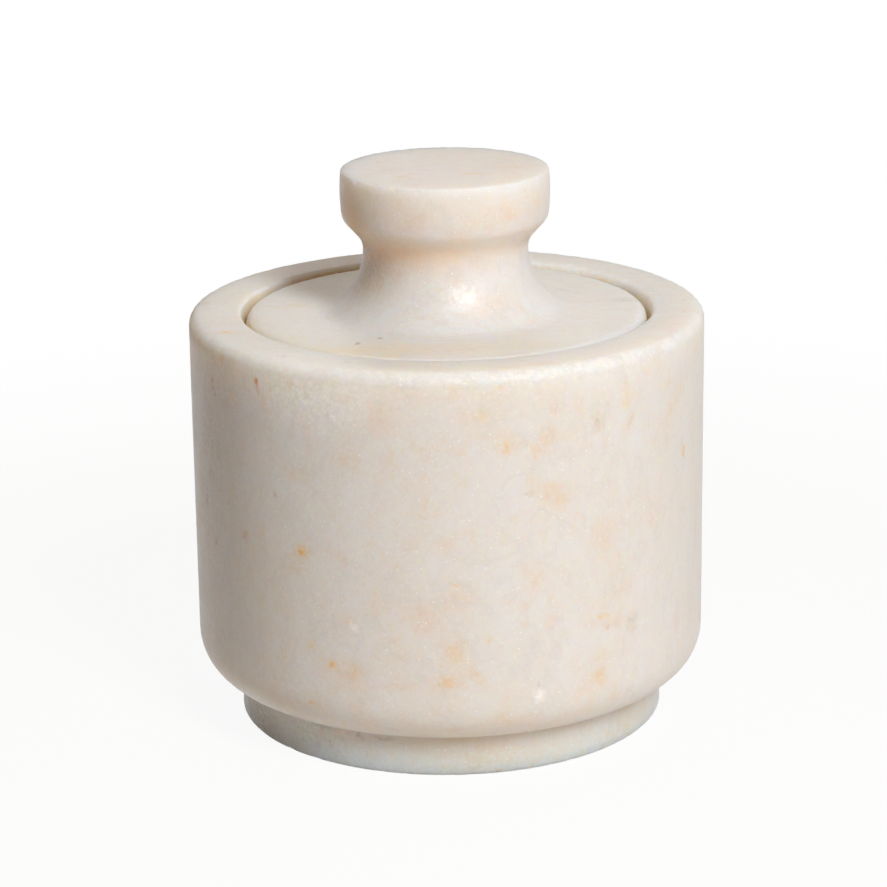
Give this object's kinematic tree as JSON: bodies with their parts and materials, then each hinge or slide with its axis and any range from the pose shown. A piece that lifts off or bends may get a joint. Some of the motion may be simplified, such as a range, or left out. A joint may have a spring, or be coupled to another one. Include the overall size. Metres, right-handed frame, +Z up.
{
  "type": "salt bowl",
  "caption": "Round thick-walled stone salt bowl on a low foot, with a loose lid that drops into the mouth and lifts by a flared neck and a thick round knob.",
  "frame": {"origin": "centre of the foot's flat underside, on the turning axis", "axes": "+Z up along the turning axis, from the foot to the knob; -Y towards the side that the picture shows"},
  "size_m": [0.1, 0.1, 0.1084],
  "materials": {
    "bowl_marble": "honed",
    "lid_marble": "honed"
  },
  "bodies": {
    "bowl": {"bowl": "bowl_marble"},
    "lid": {"lid": "lid_marble"}
  },
  "joints": [
    {"name": "lid_lift", "type": "slide", "parent": "bowl", "child": "lid", "axis": [0, 0, 1], "range_m": [0, 0.06]}
  ]
}
